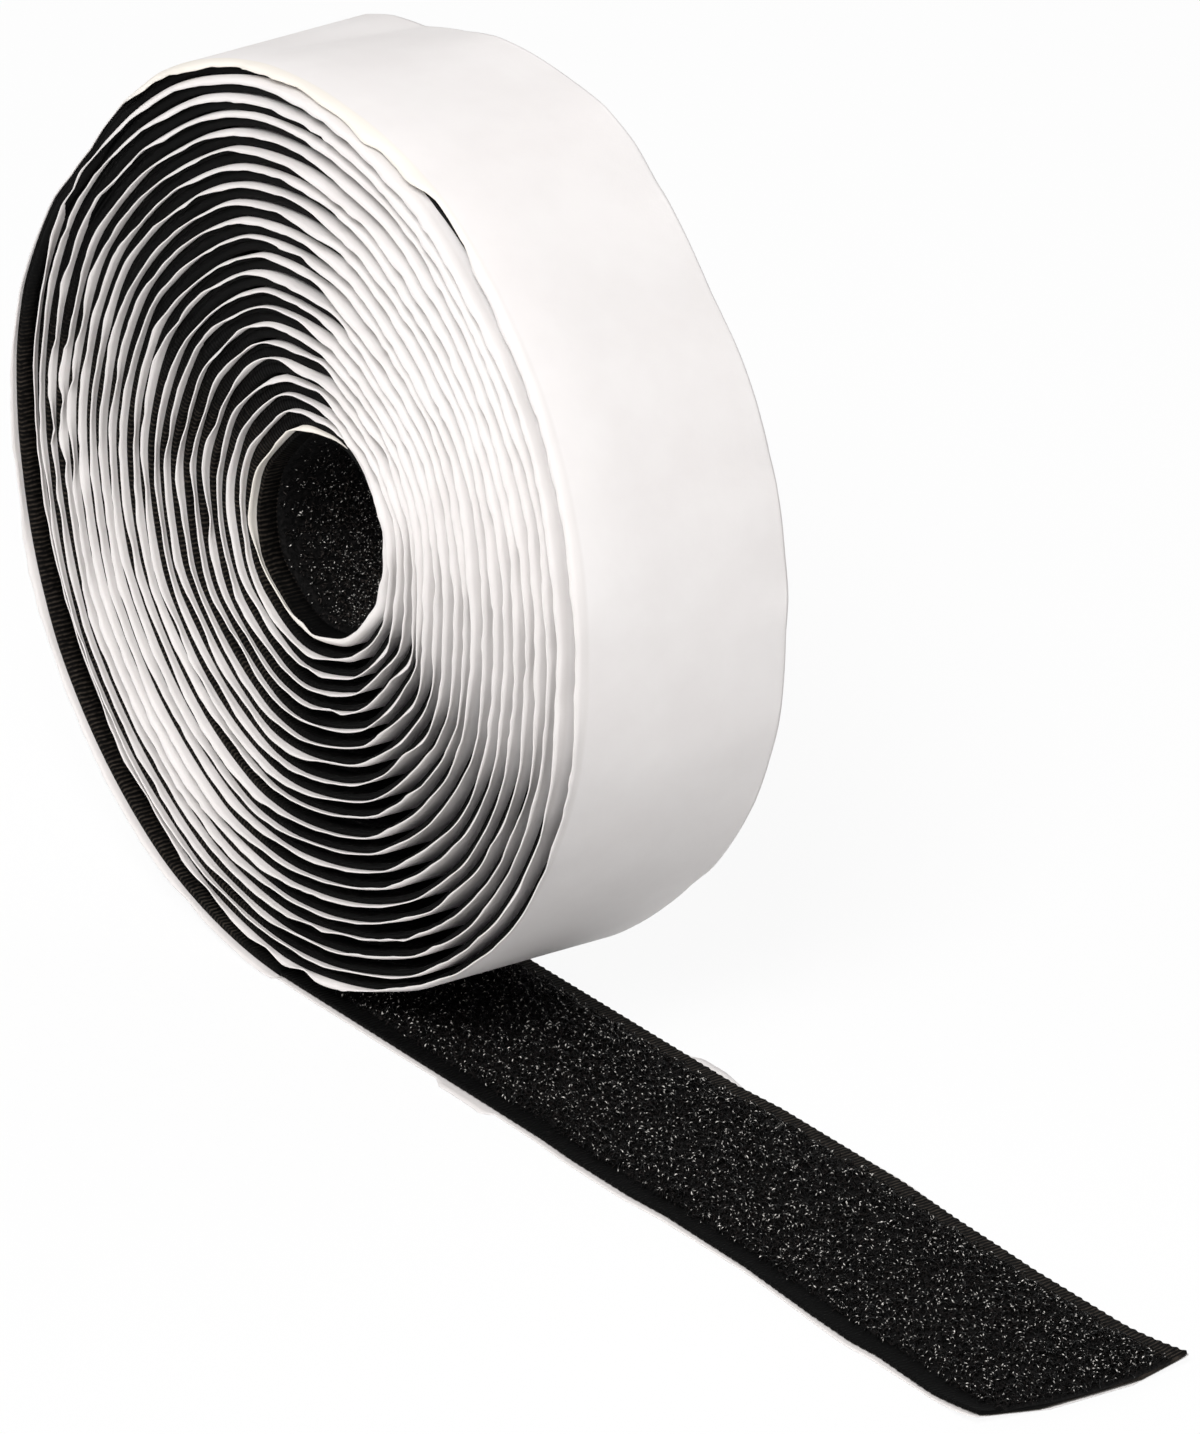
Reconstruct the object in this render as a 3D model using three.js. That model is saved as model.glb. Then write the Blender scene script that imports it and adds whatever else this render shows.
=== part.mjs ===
// Hook and loop tape roll: the loop half, sticky backed, wound without a core on its own paper liner,
// with a free tail laid flat in front of it.
//
// Millimetres, +Z up. X runs along the tail, Y across the tape, away from the side that faces a viewer.
// The origin is on the flat underside, straight below the roll's axis.
// The tape comes from its cut end at +X, runs flat to the roll, goes up on the -X side with its liner
// outwards and winds inwards, clockwise as seen from -Y.
import * as THREE from 'three';

// Driving dimensions of the tape
const tapeWidth = 25.4;
const selvageWidth = 2.4;
const groundThickness = 0.4;
const adhesiveThickness = 0.1;
const pileHeight = 0.55;

// Driving dimensions of the release liner, which stands out past both edges of the tape
const linerThickness = 0.15;
const linerNearOverhang = 0.8;
const linerFarOverhang = 0.4;

// Clear space between two layers that lie on each other
const layerClearance = 0.05;

// Driving dimensions of the roll
const rollRadius = 53;
const pitch = 1.9;
const turns = 21.65;
const dishDepth = 3.3;
const firstTurnDrift = 1.9;
const slump = 2;

// Driving dimensions of the tail
const tailLength = 124;
const tailHingeX = 26;
const peelLength = 24;
const hingeGap = 0.3;

// Where the first turn lies across the axis, quarter by quarter from the bottom, of firstTurnDrift
const firstTurnDriftShares = [0, -0.5, 1, 0.9, 0.5];

// How far the middle turns have slumped towards the side where the tape climbs, of slump, at shares of the turns.
// The direction is a share of a whole turn from the bottom
const slumpTurnShares = [0, 0.23, 0.46, 0.65, 0.83, 1];
const slumpShares = [0, 0.45, 0.85, 1, 0.6, 0.4];
const slumpDirectionShare = 0.2;

// Corners of the winding: the outer turns have more of them than the small inner ones
const outerTurns = 9;
const outerStepsPerTurn = 24;
const innerStepsPerTurn = 12;

const outerStep = 2 * Math.PI / outerStepsPerTurn;
const innerStep = 2 * Math.PI / innerStepsPerTurn;
const firstAngle = outerStep / 2;
const outerSteps = outerTurns * outerStepsPerTurn;
const innerSteps = Math.round((turns - outerTurns) * innerStepsPerTurn);

// The axis stands so high that the lowest flat of the winding lies on the ground plane
const axisHeight = rollRadius * Math.cos(firstAngle);

// Layers by their depth, measured from the liner's outer face towards the pile
const adhesiveDepth = linerThickness + layerClearance;
const groundDepth = adhesiveDepth + adhesiveThickness + layerClearance;
const pileDepth = groundDepth + groundThickness + layerClearance;
const stackThickness = pileDepth + pileHeight;

// How far a turn has slid along the axis: the first turn sways, the later ones step in to a shallow dish
function drift(turn) {
  if (turn < 1) {
    const quarter = turn * (firstTurnDriftShares.length - 1);
    const lower = Math.floor(quarter);
    const share = THREE.MathUtils.lerp(
      firstTurnDriftShares[lower],
      firstTurnDriftShares[lower + 1],
      quarter - lower,
    );
    return firstTurnDrift * share;
  }
  const settled = firstTurnDrift * firstTurnDriftShares.at(-1);
  return settled + dishDepth * (turn - 1) / (turns - 1);
}

// A station is a corner of the strip's route: a point of the liner's outer face,
// the step inwards that makes one unit of depth there, and the slide along the axis
function flatStation(x) {
  return { x, z: 0, inX: 0, inZ: 1, slide: 0 };
}

// How far the middle of a turn lies from the roll's axis
function slumpOf(turn) {
  const share = turn / turns;
  const next = Math.max(1, slumpTurnShares.findIndex((limit) => limit >= share));
  const [from, to] = [slumpTurnShares[next - 1], slumpTurnShares[next]];
  const part = THREE.MathUtils.clamp((share - from) / (to - from), 0, 1);
  return slump * THREE.MathUtils.lerp(slumpShares[next - 1], slumpShares[next], part);
}

function woundStation(angle) {
  const turn = (angle - firstAngle) / (2 * Math.PI);
  const radius = rollRadius - pitch * turn;
  const mitre = 1 / Math.cos(firstAngle);
  const aside = slumpOf(Math.max(0, turn));
  const direction = 2 * Math.PI * slumpDirectionShare;
  return {
    x: -radius * Math.sin(angle) - aside * Math.sin(direction),
    z: axisHeight - radius * Math.cos(angle) - aside * Math.cos(direction),
    inX: mitre * Math.sin(angle),
    inZ: mitre * Math.cos(angle),
    slide: drift(turn),
  };
}

function woundRoute() {
  const route = [flatStation(tailHingeX - hingeGap / 2)];
  let angle = firstAngle;
  route.push(woundStation(angle));
  for (let step = 0; step < outerSteps + innerSteps; step += 1) {
    angle += step < outerSteps ? outerStep : innerStep;
    route.push(woundStation(angle));
  }
  return route;
}

function flatRoute(fromX, toX) {
  return [flatStation(toX), flatStation(fromX)];
}

// One point of a strip, at a depth below the liner's outer face and a place across the tape
function stripPoint(station, depth, across) {
  return [
    station.x + station.inX * depth,
    across + station.slide,
    station.z + station.inZ * depth,
  ];
}

// A closed strip of rectangular section that follows a route without a break
function stripGeometry(route, layer) {
  const positions = [];
  for (const station of route) {
    positions.push(...stripPoint(station, layer.depth, layer.near));
    positions.push(...stripPoint(station, layer.depth, layer.far));
    positions.push(...stripPoint(station, layer.depth + layer.thickness, layer.far));
    positions.push(...stripPoint(station, layer.depth + layer.thickness, layer.near));
  }
  const sides = 4;
  const index = [0, 1, 2, 0, 2, 3];
  for (let ring = 0; ring < route.length - 1; ring += 1) {
    for (let side = 0; side < sides; side += 1) {
      const a = ring * sides + side;
      const b = ring * sides + (side + 1) % sides;
      index.push(a, a + sides, b, b, a + sides, b + sides);
    }
  }
  const last = (route.length - 1) * sides;
  index.push(last, last + 2, last + 1, last, last + 3, last + 2);
  const geometry = new THREE.BufferGeometry();
  geometry.setAttribute('position', new THREE.Float32BufferAttribute(positions, 3));
  geometry.setIndex(index);
  geometry.computeVertexNormals();
  return geometry;
}

// The layers, from the ground plane up where the tail lies flat
const tapeEdge = tapeWidth / 2;
const pileEdge = tapeEdge - selvageWidth;
const layers = {
  liner: {
    depth: 0,
    thickness: linerThickness,
    near: -tapeEdge - linerNearOverhang,
    far: tapeEdge + linerFarOverhang,
  },
  adhesive: {
    depth: adhesiveDepth,
    thickness: adhesiveThickness,
    near: -tapeEdge,
    far: tapeEdge,
  },
  ground: {
    depth: groundDepth,
    thickness: groundThickness,
    near: -tapeEdge,
    far: tapeEdge,
  },
  pile: {
    depth: pileDepth,
    thickness: pileHeight,
    near: -pileEdge,
    far: pileEdge,
  },
  // In the winding the adhesive is counted into the fabric that it coats
  coatedGround: {
    depth: adhesiveDepth,
    thickness: groundDepth + groundThickness - adhesiveDepth,
    near: -tapeEdge,
    far: tapeEdge,
  },
};

const finishes = {
  liner: new THREE.MeshStandardMaterial({ color: 0xefecec, roughness: 0.62, metalness: 0 }),
  adhesive: new THREE.MeshStandardMaterial({ color: 0x4a463c, roughness: 0.25, metalness: 0 }),
  ground: new THREE.MeshStandardMaterial({ color: 0x1d1c1e, roughness: 0.8, metalness: 0 }),
  pile: new THREE.MeshStandardMaterial({ color: 0x0c0c0e, roughness: 0.9, metalness: 0 }),
};
finishes.coatedGround = finishes.ground;

// Least clear distance from a face of the winding to a face that lies further in, a half turn on or more
function leastGap(route, innerFace, outerFace) {
  const flat = (depth) => route.map((station) => {
    const [x, , z] = stripPoint(station, depth, 0);
    return new THREE.Vector2(x, z);
  });
  const inside = flat(innerFace);
  const outside = flat(outerFace);
  const along = new THREE.Vector2();
  const to = new THREE.Vector2();
  let least = Infinity;
  const measure = (point, start, end) => {
    along.subVectors(end, start);
    const share = THREE.MathUtils.clamp(to.subVectors(point, start).dot(along) / along.lengthSq(), 0, 1);
    to.copy(start).addScaledVector(along, share);
    least = Math.min(least, point.distanceTo(to));
  };
  const halfTurn = innerStepsPerTurn / 2;
  for (let i = 1; i < route.length; i += 1) {
    for (let j = i + halfTurn; j < route.length; j += 1) {
      measure(inside[i], outside[j - 1], outside[j]);
      measure(outside[j], inside[i - 1], inside[i]);
    }
  }
  return least;
}

const roll = new THREE.Group();

function addStrip(name, layerName, route) {
  const mesh = new THREE.Mesh(stripGeometry(route, layers[layerName]), finishes[layerName]);
  mesh.name = name;
  roll.add(mesh);
}

// The winding, with the first stretch of the tail that lies still under it
const winding = woundRoute();
addStrip('wound_release_liner', 'liner', winding);
addStrip('wound_woven_ground', 'coatedGround', winding);
addStrip('wound_loop_pile', 'pile', winding);

// The tail, which lifts from the ground at its hinge line. Its liner reaches to the cut end
const tailStart = tailHingeX + hingeGap / 2;
const peelX = tailLength - peelLength;
const tail = flatRoute(tailStart, peelX - hingeGap / 2);
addStrip('tail_release_liner', 'liner', flatRoute(tailStart, tailLength));
addStrip('tail_adhesive', 'adhesive', tail);
addStrip('tail_woven_ground', 'ground', tail);
addStrip('tail_loop_pile', 'pile', tail);

// The end of the tape, which peels off its liner
const tapeEnd = flatRoute(peelX + hingeGap / 2, tailLength);
addStrip('end_adhesive', 'adhesive', tapeEnd);
addStrip('end_woven_ground', 'ground', tapeEnd);
addStrip('end_loop_pile', 'pile', tapeEnd);

for (const layerName of ['liner', 'coatedGround', 'pile']) {
  const { depth, thickness } = layers[layerName];
  const gap = leastGap(winding, depth + thickness, depth);
  console.log(`least gap of the wound ${layerName} to itself: ${gap.toFixed(3)} mm`);
}
console.log(`least gap between two turns: ${leastGap(winding, stackThickness, 0).toFixed(3)} mm`);

export default roll;
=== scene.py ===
# %% [markdown]
# # A roll of loop tape on its paper liner
#
# The object is a strip of black loop tape, sticky on its back, wound without a core on a white paper liner.
# Three layers go round together more than twenty times, so the whole job is one question: how to lay a long
# flat strip along a spiral, and how to give its two edges the small accidents that real tape and paper have.
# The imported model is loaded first, and the sizes that it holds are read from it.

# %% Load the frame
import math

import bmesh
import bpy
import numpy as np
from mathutils import Matrix, Vector


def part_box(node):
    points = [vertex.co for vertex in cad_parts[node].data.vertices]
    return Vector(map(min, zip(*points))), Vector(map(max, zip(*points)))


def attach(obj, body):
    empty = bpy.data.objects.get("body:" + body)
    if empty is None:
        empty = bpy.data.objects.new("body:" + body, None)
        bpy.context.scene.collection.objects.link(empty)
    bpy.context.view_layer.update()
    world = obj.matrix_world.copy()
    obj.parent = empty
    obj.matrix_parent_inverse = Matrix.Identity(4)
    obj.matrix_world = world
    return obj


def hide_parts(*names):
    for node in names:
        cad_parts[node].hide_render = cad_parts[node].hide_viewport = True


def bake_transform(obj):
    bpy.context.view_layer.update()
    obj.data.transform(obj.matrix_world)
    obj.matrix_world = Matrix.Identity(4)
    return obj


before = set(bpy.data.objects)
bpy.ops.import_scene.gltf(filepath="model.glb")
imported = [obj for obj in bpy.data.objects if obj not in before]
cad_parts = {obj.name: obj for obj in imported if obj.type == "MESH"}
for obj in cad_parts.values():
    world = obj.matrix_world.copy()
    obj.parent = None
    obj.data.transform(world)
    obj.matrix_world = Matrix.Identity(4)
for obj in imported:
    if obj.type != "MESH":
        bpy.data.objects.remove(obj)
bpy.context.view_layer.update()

# %% Sizes read from the frame
mm = 0.001
tau = 2 * math.pi

liner_low, liner_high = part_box("tail_release_liner")
ground_low, ground_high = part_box("tail_woven_ground")
pile_low, pile_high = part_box("tail_loop_pile")
adhesive_low, adhesive_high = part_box("tail_adhesive")
end_low, end_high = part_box("end_woven_ground")
roll_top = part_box("wound_release_liner")[1][2]

tape_half = ground_high[1]
pile_half = pile_high[1]
tail_end_x = end_high[0]
ground_top = ground_high[2]
ground_bottom = ground_low[2]
pile_top = pile_high[2]
print(f"tape {2000 * tape_half:.1f} mm wide on a liner of {1000 * (liner_high[1] - liner_low[1]):.1f} mm")
print(f"tail {1000 * tail_end_x:.1f} mm long, stack {1000 * pile_top:.2f} mm high")

# %% [markdown]
# ## The route
#
# A roll is a spiral that loses one pitch in each turn. Every layer of it lies at a fixed depth under the
# outer face of the paper, so one function of the turned angle serves them all. The angle is zero where the
# tape leaves the floor, and grows as the tape climbs the far left side.
# A real roll isn't a true spiral. The stiff laminate kinks a little every one or two centimetres, most in
# the small inner turns, and neighbours kink together because they lie in each other.

# %% The spiral and its kinks
PITCH = 1.9 * mm
TURNS = 21.65
ROLL_RADIUS = (roll_top + PITCH / 2) / 2
axis_z = ROLL_RADIUS

SLUMP = 2.0 * mm
SLUMP_TURNS = np.array([0.0, 0.23, 0.46, 0.65, 0.83, 1.0]) * TURNS
SLUMP_SHARES = [0.0, 0.45, 0.85, 1.0, 0.6, 0.0]
SLUMP_DIRECTION = 0.2 * tau

TURN_ROWS = 24
KINKS_PER_TURN = 14
KINK_SHIFT = 0.28
KINK_WALK = 0.007
KINK_ROUNDING = (-1.5, -0.5, 0.5, 1.5)
KINK_TURNS = [0, 1, 12, TURNS]
KINK_STRENGTHS = [0.10, 0.14, 0.30, 0.75]
rng = np.random.default_rng(7)
kink_shifts = rng.uniform(-KINK_SHIFT, KINK_SHIFT, KINKS_PER_TURN - 1)
base_kinks = (np.arange(1, KINKS_PER_TURN) + kink_shifts) / KINKS_PER_TURN
kink_walk = np.cumsum(rng.normal(0, KINK_WALK, (TURN_ROWS, KINKS_PER_TURN - 1)), axis=0)


def window(value, rise_from, rise_to, fall_from, fall_to):
    """One between the two middle limits, zero outside the outer two."""
    return np.interp(value, [rise_from, rise_to, fall_from, fall_to], [0, 1, 1, 0])


def turn_and_clock(angle):
    """How many turns the angle makes, and its place in the turn in degrees from the bottom."""
    turn = angle / tau
    return turn, 360 * (turn % 1)


def turned_length(angle):
    """Length along the outer face from the floor to that angle."""
    return ROLL_RADIUS * angle - PITCH * angle ** 2 / (2 * tau)


def sharp_kink_depth(angle, radius):
    """How far the face lies inside its true circle, because it runs straight between two kinks."""
    turn = np.clip(np.floor(angle / tau).astype(int), 0, TURN_ROWS - 1)
    share = angle / tau - turn
    depth = np.zeros_like(angle)
    for t in np.unique(turn):
        rows = turn == t
        edges = np.concatenate([[0.0], np.sort(base_kinks + kink_walk[t]), [1.0]])
        found = np.clip(np.searchsorted(edges, share[rows], side="right") - 1, 0, KINKS_PER_TURN - 1)
        middle = (edges[found] + edges[found + 1]) / 2
        half = (edges[found + 1] - edges[found]) / 2
        chord = np.cos(half * tau) / np.cos((share[rows] - middle) * tau)
        depth[rows] = radius[rows] * (1 - chord)
    return depth


def kink_depth(angle, radius):
    """The same with the kinks rounded over three millimetres, weak outside and strong in the small turns."""
    depth = sum(sharp_kink_depth(angle + step * mm / radius, radius) for step in KINK_ROUNDING)
    return depth / len(KINK_ROUNDING) * np.interp(angle / tau, KINK_TURNS, KINK_STRENGTHS)


# %% The sideways slide of the turns
SWAY = 1.9 * mm
SWAY_SHARES = [0.0, -0.5, 1.0, 0.9, 0.5]
DISH = 3.3 * mm
SECOND_TURN_STEP = 0.6 * mm
OUTER_TURNS_STEP = 0.9 * mm
SECOND_TURN_STEPS_AT = (1.0, 1.08, 1.16, 1.24)
OUTER_TURNS_STEP_CLOCKS = (80, 105, 140, 168)
OUTER_TURNS_END = [2.4, 4.4]
TURN_JITTER = 0.12
turn_jitter = rng.normal(0, TURN_JITTER, TURN_ROWS) * mm
turn_jitter[:2] = 0


def slide(angle):
    """How far a turn has slid along the axis: the first one sways, the rest step in to a shallow dish."""
    turn, clock = turn_and_clock(angle)
    quarter = np.clip(turn * 4, 0, 4)
    low = np.minimum(quarter.astype(int), 3)
    ease = quarter - low
    ease = ease * ease * (3 - 2 * ease)
    shares = np.array(SWAY_SHARES)
    first = SWAY * (shares[low] + (shares[low + 1] - shares[low]) * ease)
    settled = SWAY * shares[-1] + DISH * (turn - 1) / (TURNS - 1)
    settled += SECOND_TURN_STEP * window(turn, *SECOND_TURN_STEPS_AT)
    settled += np.interp(turn, np.arange(TURN_ROWS), turn_jitter)
    outer = window(clock, *OUTER_TURNS_STEP_CLOCKS) * np.interp(turn, OUTER_TURNS_END, [1, 0])
    return np.where(turn < 1, first, settled) - OUTER_TURNS_STEP * outer


# %% [markdown]
# The outermost turns aren't held down by anything, so they stand off in places. Two tables were read from
# the outline in the photo: how far the near edge and the far edge lie outside the true spiral, by clock.
# The clock is in degrees from where the tape leaves the floor. The far edge takes the next two turns along.
# A third table says how far the turns inside lie out of their places, because they were packed unevenly.

# %% Loose places of the outer turns
CLOCK = np.arange(0, 360, 30)
NEAR_CLOCK = [0, 90, 104, 119, 124, 130, 134, 139, 148, 153, 162, 172, 185, 360]
NEAR_LOOSE = [0, 0, 0.3, 0.1, -0.6, -0.65, -0.05, 0.5, 1.35, 1.3, 1.05, 0.5, 0.0, 0]
FAR_CLOCK = [
    0, 130, 148, 152, 156, 162, 170, 176, 188, 198, 204, 210, 226,
    232, 242, 250, 262, 280, 300, 308, 318, 330, 338, 350, 360,
]
FAR_LOOSE = [
    0, 0, 2.6, 2.5, 1.7, 0, -0.1, 0.35, 0.6, 1.1, 0.7, -0.3, -0.75,
    -0.3, 0.15, 0.6, 0.7, 0.8, 0.4, -0.3, -0.4, 0, 0.3, 0, 0,
]
PACK_TURNS = [1.0, 1.4, 3.0, 7.0, 13.0, 17.0, 19.0, 21.0]
PACK_OUTWARDS = np.array([
    [0, 0, 0, 0, 0, 0, 0, 0, 0, 0, 0, 0],
    [0, 0.1, 0.6, 0.6, 0.45, 1.2, 1.1, 0.1, 0, -0.5, 0.1, 0.45],
    [0.3, 0.2, 0.8, 1.0, 1.0, 1.0, 1.2, 0.2, 0, -0.5, 0, 0.45],
    [0.2, 0.2, 0.5, 0.9, 0.7, 0.75, 0.8, 0, 0, -0.35, 0, 0.4],
    [0.3, 0.6, 0.8, 0.9, 0.5, 0.6, -0.1, -0.3, 0.2, -0.1, -0.1, 0.15],
    [0.4, 0.5, 0.7, 0.4, 0.2, 0.3, -0.4, -0.1, 0.3, 0, -0.4, 0],
    [-0.1, 0, 0.1, -0.1, -0.2, 0.1, -0.3, 0, 0.4, 0.3, -0.4, -0.1],
    [0.3, 1.0, 1.3, 0.6, 0.3, 0.2, 0.3, 0.4, 0.4, 0.3, -0.2, 0.1],
])
FAR_EDGE_PACKS_LESS = 0.6
WOBBLES = 800
WOBBLE_GAPS = (4, 11)
WOBBLE_TURNS = [0, 1, 3, TURNS]
WOBBLE_STRENGTHS = [0, 0.05, 0.12, 0.22]
wobble_places = np.cumsum(rng.uniform(*WOBBLE_GAPS, WOBBLES)) * mm
wobble_sizes = rng.uniform(-1, 1, WOBBLES) * mm


def by_clock(table, clock, turns, turn):
    """A value from a table with a row for each of some turns and a column for each of twelve clocks."""
    rows = np.stack([np.interp(clock, CLOCK, row, period=360) for row in table])
    place = np.interp(turn, turns, np.arange(len(turns)))
    low = np.minimum(place.astype(int), len(turns) - 2)
    column = np.arange(len(turn))
    return rows[low, column] + (rows[low + 1, column] - rows[low, column]) * (place - low)


def wobble(angle):
    """A small waviness of every turn, more of it in the small ones."""
    size = np.interp(turned_length(angle), wobble_places, wobble_sizes)
    return size * np.interp(angle / tau, WOBBLE_TURNS, WOBBLE_STRENGTHS)


def looseness(angle, across):
    """How far the strip lies outside its place on the true spiral."""
    turn, clock = turn_and_clock(angle)
    far_share = np.clip((across / tape_half + 1) / 2, 0, 1)
    near = np.interp(clock, NEAR_CLOCK, NEAR_LOOSE) * (turn < 1)
    far = np.interp(clock, FAR_CLOCK, FAR_LOOSE) * np.interp(turn, [1, 3], [1, 0])
    packed = by_clock(PACK_OUTWARDS, clock, PACK_TURNS, turn)
    packed = packed * (1 - FAR_EDGE_PACKS_LESS * far_share * (turn < 3))
    return (near * (1 - far_share) + far * far_share + packed) * mm


def on_spiral(angle, across, depth):
    """Points of the roll at those angles, places across the tape and depths under the paper's outer face."""
    radius = ROLL_RADIUS - PITCH * angle / tau
    radius = radius - kink_depth(angle, radius) - depth + looseness(angle, across) + wobble(angle)
    slump = SLUMP * np.interp(angle / tau, SLUMP_TURNS, SLUMP_SHARES)
    return np.stack([
        -radius * np.sin(angle) - slump * math.sin(SLUMP_DIRECTION),
        across + slide(angle),
        axis_z - radius * np.cos(angle) - slump * math.cos(SLUMP_DIRECTION),
    ], axis=-1)


FINE_ANGLES = 20001


def even_angles(step):
    """Angles of the whole winding whose points are about one step apart."""
    fine = np.linspace(0.0, TURNS * tau, FINE_ANGLES)
    length = turned_length(fine)
    count = int((length[-1] - length[0]) / step) + 2
    return np.interp(np.linspace(length[0], length[-1], count), length, fine)


winding_length = turned_length(TURNS * tau)
tape_length = winding_length + tail_end_x
print(f"the tape is {tape_length:.2f} m long")

# %% [markdown]
# ## A strip along the route
#
# Every layer starts as a flat grid, one row of faces for each step along the tape. The grid's own
# coordinates say which row and which column a point is in, so the strip can be laid along any route, and
# the same numbers in metres become its UV map. A weave or a crease then follows the tape round the roll.
# Solidify gives the paper and the fabric their thickness, with a closed rim.

# %% Lay a strip
def add_object(name, data):
    thing = bpy.data.objects.new(name, data)
    bpy.context.scene.collection.objects.link(thing)
    return thing


def lay_strip(name, points, along, across, thickness):
    """A strip with points, rows by columns, on its middle face. Along and across become its UV map."""
    rows, columns = points.shape[:2]
    bm = bmesh.new()
    bmesh.ops.create_grid(bm, x_segments=rows - 1, y_segments=columns - 1, size=1.0)
    mesh = bpy.data.meshes.new(name)
    bm.to_mesh(mesh)
    bm.free()
    flat = np.empty(len(mesh.vertices) * 3)
    mesh.vertices.foreach_get("co", flat)
    flat = flat.reshape(-1, 3)
    row = np.rint((flat[:, 0] + 1) / 2 * (rows - 1)).astype(int)
    column = np.rint((flat[:, 1] + 1) / 2 * (columns - 1)).astype(int)
    mesh.vertices.foreach_set("co", points[row, column].ravel())
    uv = mesh.uv_layers.new(name="tape")
    corner = np.empty(len(mesh.loops), dtype=np.int32)
    mesh.loops.foreach_get("vertex_index", corner)
    places = np.stack([along[row[corner]], across[column[corner]]], axis=-1)
    uv.data.foreach_set("uv", places.ravel().astype(np.float32))
    piece = add_object(name, mesh)
    wall = piece.modifiers.new("Thickness", "SOLIDIFY")
    wall.thickness = thickness
    wall.offset = 0.0
    settle(piece)
    close_up(piece)
    report(piece)
    return piece


def settle(piece):
    """Makes the modifiers part of the mesh."""
    graph = bpy.context.evaluated_depsgraph_get()
    done = bpy.data.meshes.new_from_object(piece.evaluated_get(graph), depsgraph=graph)
    old = piece.data
    piece.modifiers.clear()
    piece.data = done
    done.name = piece.name
    bpy.data.meshes.remove(old)


def close_up(piece):
    """Turns every face outwards and shades the piece smoothly."""
    bm = bmesh.new()
    bm.from_mesh(piece.data)
    bmesh.ops.recalc_face_normals(bm, faces=bm.faces)
    for face in bm.faces:
        face.smooth = True
    bm.to_mesh(piece.data)
    bm.free()


def report(piece):
    triangles = sum(len(p.vertices) - 2 for p in piece.data.polygons)
    print(piece.name, len(piece.data.vertices), "points,", triangles, "triangles")


def wind(name, angle, columns, depths, thickness):
    """A layer of the winding whose columns lie at those places across and at those depths."""
    points = [
        on_spiral(angle, np.full_like(angle, a), np.full_like(angle, depth))
        for a, depth in zip(columns, depths)
    ]
    return lay_strip(name, np.stack(points, axis=1), turned_length(angle), columns, thickness)


# %% [markdown]
# ## Random edges that look torn by hand, not by a sine
#
# Paper creases, it doesn't ripple: between two creases its edge runs almost straight. A random value at
# uneven knots, joined by straight lines, gives that look at once. Each sort of crease further down is four
# numbers: the lowest and highest value, and the shortest and longest gap between two knots.

# %% Creased noise
def creased(length, low, high, gap_low, gap_high, seed):
    """A value for each place in length, straight between random creases a random gap apart."""
    own = np.random.default_rng(seed)
    span = length[-1] - length[0]
    count = int(span / gap_low) + 3
    knots = length[0] + np.concatenate([[0.0], np.cumsum(own.uniform(gap_low, gap_high, count))])
    return np.interp(length, knots, own.uniform(low, high, count + 1))


# %% [markdown]
# ## The release liner
#
# The paper is wider than the tape. Past the tape's edge nothing holds it, so this narrow flange tilts and
# creases by itself. It is what draws the white rings on the side of the roll.
# The flange is modelled with its real width, turned about the tape's edge. How far it leans follows the
# clock, because the roll was pressed together from the same sides turn after turn, and a creased random
# angle comes on top. Four places differ: the outermost turn, a crushed patch at the left, the bottom of the
# roll where the second turn begins, and the last turn in the bore, whose flange is bent over its tape below.

# %% Shape of the flange
LINER_THICKNESS = 0.13 * mm
NEAR_FLANGE = 1.15 * mm
FAR_FLANGE = 0.6 * mm

LEAN_TURNS = [0.5, 1.5, 5.0, 11.0, 15.0, 19.0]
LEAN_INWARDS = np.array([
    [0.62, 0.70, 1.02, 0.92, 0.45, 0.60, 0.45, 0.75, 0.60, 0.30, -0.52, 0.30],
    [0.66, 0.55, 0.80, 0.75, 0.20, 1.25, 0.65, 0.62, 0.42, 0.08, -0.72, 0.25],
    [0.28, -0.14, -0.02, 0.28, 0.15, 0.58, 0.30, 0.60, 0.40, 0.03, -0.68, 0.28],
    [0.22, 0.35, 0.38, 0.50, 0.12, 0.30, 0.05, 0.50, 0.38, 0.02, -0.60, 0.23],
    [0.41, 0.70, 0.72, 0.76, 0.68, 0.30, -0.05, 0.42, 0.36, -0.06, -0.74, 0.31],
    [0.38, 0.48, 0.44, 0.56, 0.00, 0.35, 0.05, 0.05, 0.25, -0.15, -0.78, 0.22],
])
FIRST_CLOCK = [0, 60, 78, 104, 118, 132, 142, 166, 182, 196, 202, 205, 212, 216, 224, 360]
FIRST_LEAN = [0.10, 0.05, 0.30, 0.30, 0.0, 0.3, 0.78, 0.62, 0.45, 0.55, 0.40, -0.70, -0.60, 0.1, 0.50, 0.50]
LAST_CLOCK = [0, 30, 48, 60, 90, 110, 130, 200, 235, 270, 300, 330, 360]
LAST_LEAN = [1.3, 1.3, 1.0, 0.55, 0.20, 0.10, 0.25, 0.30, 0.50, 0.70, 0.80, 1.20, 1.3]
FIRST_WIDTH_CLOCK = [0, 85, 100, 114, 138, 142, 150, 185, 202, 205, 212, 216, 360]
FIRST_WIDTH = [1.0, 0.9, 0.5, 0.1, 0.15, 1.1, 1.4, 1.3, 1.0, 0.5, 0.5, 1.0, 1.0]

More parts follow.
